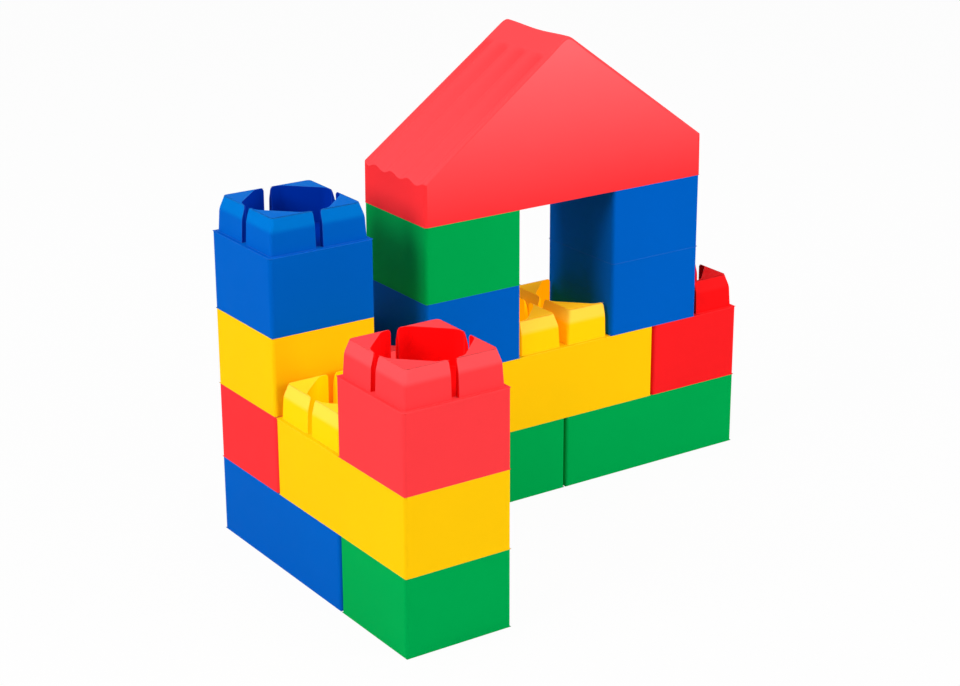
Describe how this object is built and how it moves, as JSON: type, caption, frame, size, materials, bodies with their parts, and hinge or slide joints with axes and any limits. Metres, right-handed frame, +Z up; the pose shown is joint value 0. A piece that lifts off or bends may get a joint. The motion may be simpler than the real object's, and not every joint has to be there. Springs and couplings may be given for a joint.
{
  "type": "building block castle",
  "caption": "Toy gateway castle stacked from giant hollow plastic blocks whose slotted square studs fit the block above, with a grooved gable roof.",
  "frame": {"origin": "on the floor, under the middle of the model's box", "axes": "+X along the gateway wing towards its free end, +Y from the front turret to the gateway wing, +Z up"},
  "size_m": [0.499, 0.299, 0.4195],
  "materials": {
    "red": "moulded, semi-gloss",
    "yellow": "moulded, semi-gloss",
    "green": "moulded, semi-gloss",
    "blue": "moulded, semi-gloss"
  },
  "bodies": {
    "ground_course": {"green_corner_block": "green", "blue_long_block": "blue", "green_inner_block": "green", "green_outer_block": "green"},
    "front_block": {"yellow_front_block": "yellow"},
    "long_block": {"red_long_block": "red"},
    "sill_block": {"yellow_sill_block": "yellow"},
    "end_block": {"red_end_block": "red"},
    "turret_block": {"red_turret_block": "red"},
    "tower_middle": {"yellow_tower_block": "yellow"},
    "tower_top": {"blue_tower_block": "blue"},
    "left_pillar_foot": {"blue_left_pillar_block": "blue"},
    "left_pillar_head": {"green_left_pillar_block": "green"},
    "right_pillar_foot": {"blue_right_pillar_lower": "blue"},
    "right_pillar_head": {"blue_right_pillar_upper": "blue"},
    "roof": {"red_roof_block": "red"}
  },
  "joints": [
    {"name": "front_lift", "type": "slide", "parent": "ground_course", "child": "front_block", "axis": [0, 0, 1], "range_m": [0, 0.045]},
    {"name": "turret_lift", "type": "slide", "parent": "front_block", "child": "turret_block", "axis": [0, 0, 1], "range_m": [0, 0.045]},
    {"name": "rear_course_lift", "type": "slide", "parent": "ground_course", "child": "long_block", "axis": [0, 0, 1], "range_m": [0, 0.045]},
    {"name": "sill_lift", "type": "slide", "parent": "ground_course", "child": "sill_block", "axis": [0, 0, 1], "range_m": [0, 0.045]},
    {"name": "end_lift", "type": "slide", "parent": "ground_course", "child": "end_block", "axis": [0, 0, 1], "range_m": [0, 0.045]},
    {"name": "tower_middle_lift", "type": "slide", "parent": "long_block", "child": "tower_middle", "axis": [0, 0, 1], "range_m": [0, 0.045]},
    {"name": "tower_top_lift", "type": "slide", "parent": "tower_middle", "child": "tower_top", "axis": [0, 0, 1], "range_m": [0, 0.045]},
    {"name": "pillar_foot_lift", "type": "slide", "parent": "long_block", "child": "left_pillar_foot", "axis": [0, 0, 1], "range_m": [0, 0.045]},
    {"name": "right_pillar_foot_lift", "type": "slide", "parent": "sill_block", "child": "right_pillar_foot", "axis": [0, 0, 1], "range_m": [0, 0.045]},
    {"name": "pillar_head_lift", "type": "slide", "parent": "left_pillar_foot", "child": "left_pillar_head", "axis": [0, 0, 1], "range_m": [0, 0.045]},
    {"name": "right_pillar_head_lift", "type": "slide", "parent": "right_pillar_foot", "child": "right_pillar_head", "axis": [0, 0, 1], "range_m": [0, 0.045]},
    {"name": "roof_lift", "type": "slide", "parent": "left_pillar_head", "child": "roof", "axis": [0, 0, 1], "range_m": [0, 0.045]}
  ],
  "couplings": [
    {"joint": "sill_lift", "follows": "rear_course_lift", "ratio": 1},
    {"joint": "end_lift", "follows": "rear_course_lift", "ratio": 1},
    {"joint": "right_pillar_foot_lift", "follows": "pillar_foot_lift", "ratio": 1},
    {"joint": "right_pillar_head_lift", "follows": "pillar_head_lift", "ratio": 1}
  ]
}
